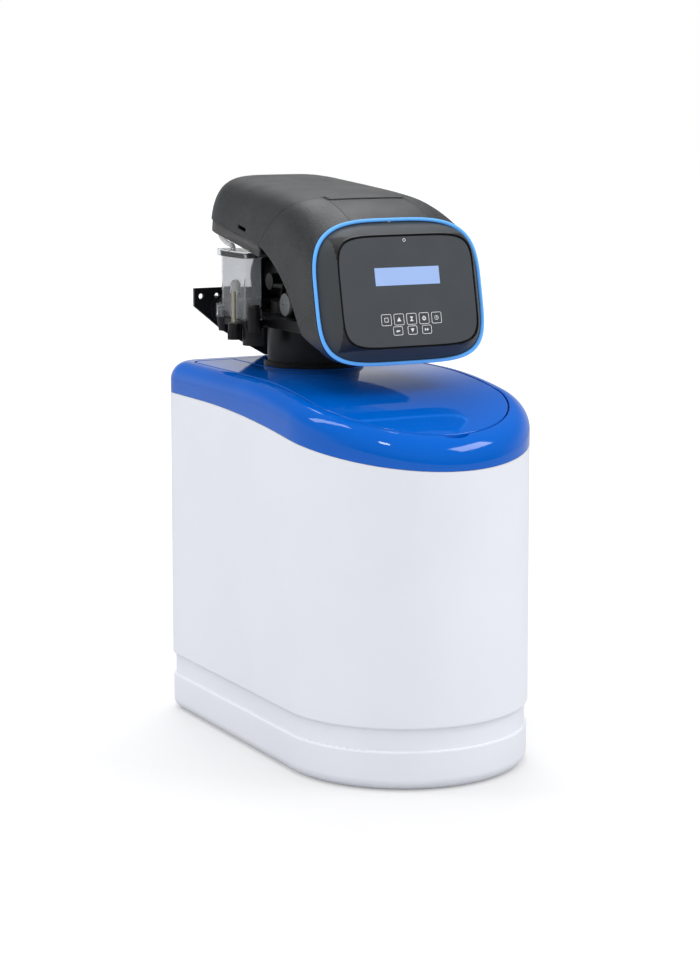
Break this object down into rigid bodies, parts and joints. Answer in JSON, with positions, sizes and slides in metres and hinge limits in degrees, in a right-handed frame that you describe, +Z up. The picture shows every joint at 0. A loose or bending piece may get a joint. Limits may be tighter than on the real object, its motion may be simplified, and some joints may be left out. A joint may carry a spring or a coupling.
{
  "type": "water softener",
  "caption": "Compact cabinet water softener: D-shaped salt cabinet, curved gloss cover with lift-up salt lid, resin tank, and an overhanging electronic control valve with display and keys.",
  "frame": {"origin": "on the floor, at the middle of the cabinet's base", "axes": "+Z up, +X to the right of someone facing the display, the display faces -Y"},
  "size_m": [0.26, 0.466, 0.5897],
  "materials": {
    "cabinet_white": "satin moulded white",
    "cover_blue": "high gloss deep blue",
    "tank_shell": "wound fibre, satin",
    "black_plastic": "moulded black",
    "steel": "plain",
    "grey_plug": "moulded grey",
    "inner_plastic": "moulded natural",
    "float_foam": "moulded",
    "seal_rubber": "plain",
    "clear_plastic": "clear moulded plastic",
    "brass_rod": "plain",
    "clear_hose": "translucent tube",
    "head_shell": "fine textured slate grey",
    "tray_grey": "satin dark grey",
    "ring_blue": "lit light blue",
    "bezel_grey": "satin slate grey",
    "panel_grey": "satin film",
    "display_blue": "lit display",
    "board_green": "circuit board",
    "key_grey": "satin film"
  },
  "bodies": {
    "housing": {"cabinet": "cabinet_white", "top_cover": "cover_blue", "neck_surround": "cover_blue", "lid_hinge_brackets": "black_plastic", "lid_hinge_pins": "steel", "mineral_tank": "tank_shell", "tank_foot": "black_plastic", "riser_tube": "inner_plastic", "bottom_strainer": "inner_plastic", "top_strainer": "inner_plastic", "tank_seal": "seal_rubber", "brine_well": "inner_plastic", "brine_well_cap": "cover_blue", "brine_riser": "inner_plastic", "overflow_elbow": "inner_plastic", "overflow_nut": "inner_plastic", "brine_hose": "clear_hose", "tank_collar": "black_plastic", "valve_body": "black_plastic", "valve_end_cap": "black_plastic", "side_plug": "grey_plug", "injector_cap": "grey_plug", "pipe_bracket": "black_plastic", "drain_elbow": "black_plastic", "sight_chamber": "clear_plastic", "sight_chamber_cap": "clear_plastic", "sight_chamber_seal": "seal_rubber", "sight_chamber_base": "black_plastic", "metering_tube": "clear_plastic", "metering_rod": "brass_rod", "metering_fitting": "black_plastic", "brine_fitting": "black_plastic", "transfer_tube": "clear_hose", "drive_plate": "black_plastic", "drive_motor": "steel", "control_tray": "tray_grey", "rear_cover": "head_shell", "front_cover": "head_shell", "top_hatch": "head_shell", "light_ring": "ring_blue", "bezel": "bezel_grey", "control_panel": "panel_grey", "display_window": "display_blue", "circuit_board": "board_green", "cover_screws": "steel"},
    "salt_lid": {"salt_lid": "cover_blue", "lid_hinge_lugs": "cover_blue"},
    "safety_float": {"brine_float": "float_foam"},
    "sight_float": {"sight_float": "float_foam"},
    "piston": {"piston": "inner_plastic"},
    "drive_gear": {"drive_gear": "inner_plastic"},
    "motor_pinion": {"motor_pinion": "inner_plastic"},
    "key_menu": {"key_menu": "key_grey"},
    "key_up": {"key_up": "key_grey"},
    "key_hold": {"key_hold": "key_grey"},
    "key_set": {"key_set": "key_grey"},
    "key_clock": {"key_clock": "key_grey"},
    "key_back": {"key_back": "key_grey"},
    "key_down": {"key_down": "key_grey"},
    "key_next": {"key_next": "key_grey"}
  },
  "joints": [
    {"name": "lid_tilt", "type": "hinge", "parent": "housing", "child": "salt_lid", "pos_m": [0, 0.173, 0.379], "axis": [-1, 0, 0], "range_deg": [0, 5]},
    {"name": "safety_float_rise", "type": "slide", "parent": "housing", "child": "safety_float", "axis": [0, 0, 1], "range_m": [0, 0.025]},
    {"name": "sight_float_rise", "type": "slide", "parent": "housing", "child": "sight_float", "axis": [0, 0, 1], "range_m": [0, 0.02]},
    {"name": "drive_gear_turn", "type": "hinge", "parent": "housing", "child": "drive_gear", "pos_m": [0, 0.026, 0.48], "axis": [0, 1, 0], "range_deg": [0, 1800]},
    {"name": "motor_turn", "type": "hinge", "parent": "housing", "child": "motor_pinion", "pos_m": [0, 0.026, 0.525], "axis": [0, 1, 0], "range_deg": [-4950, 0]},
    {"name": "piston_stroke", "type": "slide", "parent": "housing", "child": "piston", "axis": [0, 1, 0], "range_m": [0, 0.03]},
    {"name": "key_menu_press", "type": "slide", "parent": "housing", "child": "key_menu", "axis": [0, 0.9796, -0.2011], "range_m": [0, 0.0005], "stiffness_N_per_m": 1500},
    {"name": "key_up_press", "type": "slide", "parent": "housing", "child": "key_up", "axis": [0, 0.9796, -0.2011], "range_m": [0, 0.0005], "stiffness_N_per_m": 1500},
    {"name": "key_hold_press", "type": "slide", "parent": "housing", "child": "key_hold", "axis": [0, 0.9796, -0.2011], "range_m": [0, 0.0005], "stiffness_N_per_m": 1500},
    {"name": "key_set_press", "type": "slide", "parent": "housing", "child": "key_set", "axis": [0, 0.9796, -0.2011], "range_m": [0, 0.0005], "stiffness_N_per_m": 1500},
    {"name": "key_clock_press", "type": "slide", "parent": "housing", "child": "key_clock", "axis": [0, 0.9796, -0.2011], "range_m": [0, 0.0005], "stiffness_N_per_m": 1500},
    {"name": "key_back_press", "type": "slide", "parent": "housing", "child": "key_back", "axis": [0, 0.9796, -0.2011], "range_m": [0, 0.0005], "stiffness_N_per_m": 1500},
    {"name": "key_down_press", "type": "slide", "parent": "housing", "child": "key_down", "axis": [0, 0.9796, -0.2011], "range_m": [0, 0.0005], "stiffness_N_per_m": 1500},
    {"name": "key_next_press", "type": "slide", "parent": "housing", "child": "key_next", "axis": [0, 0.9796, -0.2011], "range_m": [0, 0.0005], "stiffness_N_per_m": 1500}
  ],
  "couplings": [
    {"joint": "piston_stroke", "follows": "drive_gear_turn", "m_per_rad": 0.00095493},
    {"joint": "motor_turn", "follows": "drive_gear_turn", "ratio": -2.75}
  ]
}
